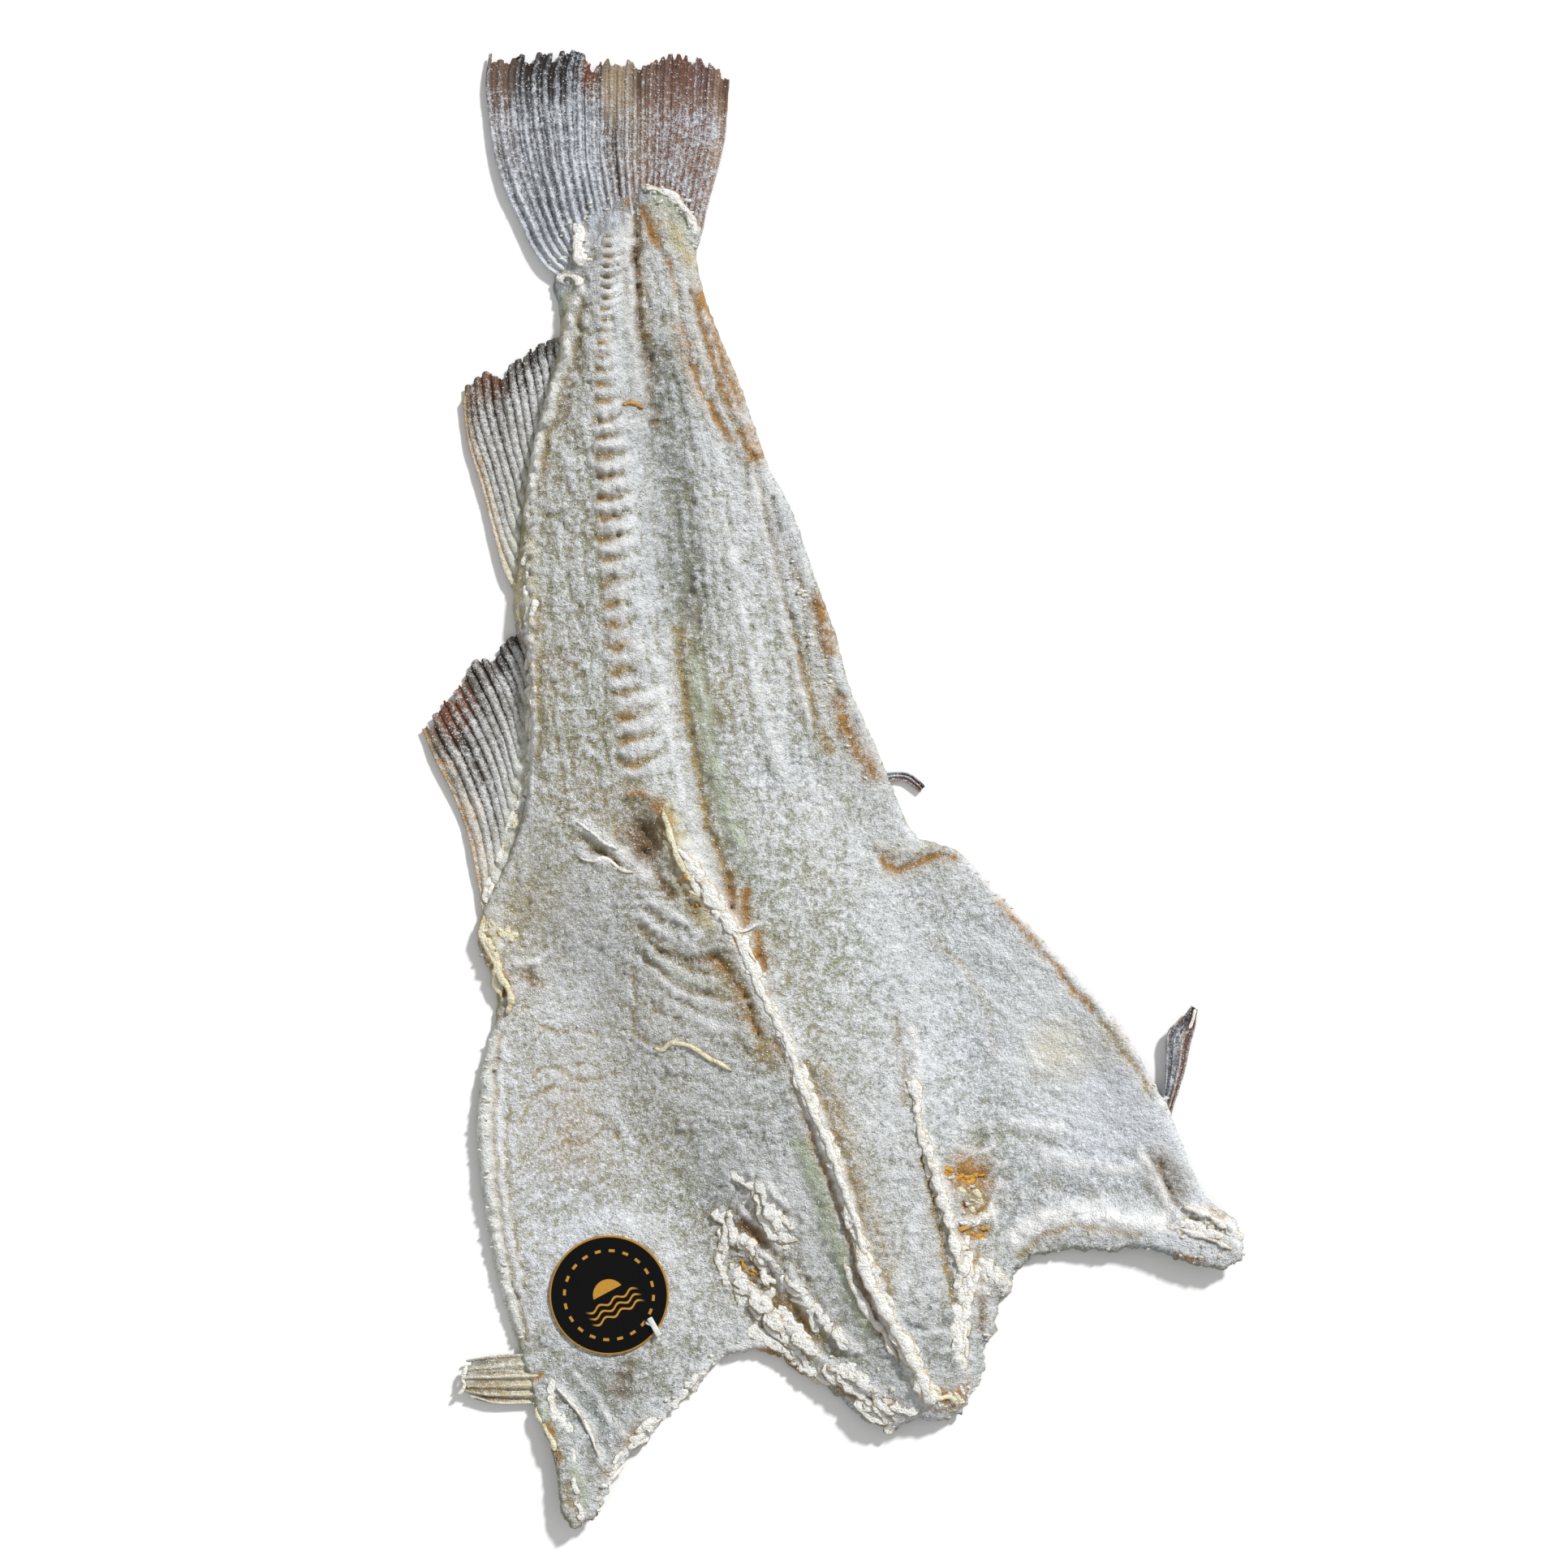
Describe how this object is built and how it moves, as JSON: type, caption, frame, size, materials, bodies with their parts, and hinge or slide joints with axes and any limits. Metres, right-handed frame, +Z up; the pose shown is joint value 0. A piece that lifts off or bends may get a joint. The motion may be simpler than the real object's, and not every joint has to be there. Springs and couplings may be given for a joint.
{
  "type": "salted dried cod",
  "caption": "Whole cod split open, salted and dried flat, lying skin side down with tail fan, side fins and a round black hang label.",
  "frame": {"origin": "middle of the fish's outline, on the flat underside it rests on", "axes": "+Y towards the tail, -Y towards the cut neck, +X across the fish, +Z up from the skin side to the flesh side"},
  "size_m": [0.388, 0.6995, 0.0289],
  "materials": {
    "salted_flesh": "matte",
    "label_card": "satin",
    "fastener_plastic": "satin"
  },
  "bodies": {
    "root": {"cod": "salted_flesh", "label": "label_card", "label_fastener": "fastener_plastic"}
  },
  "joints": []
}
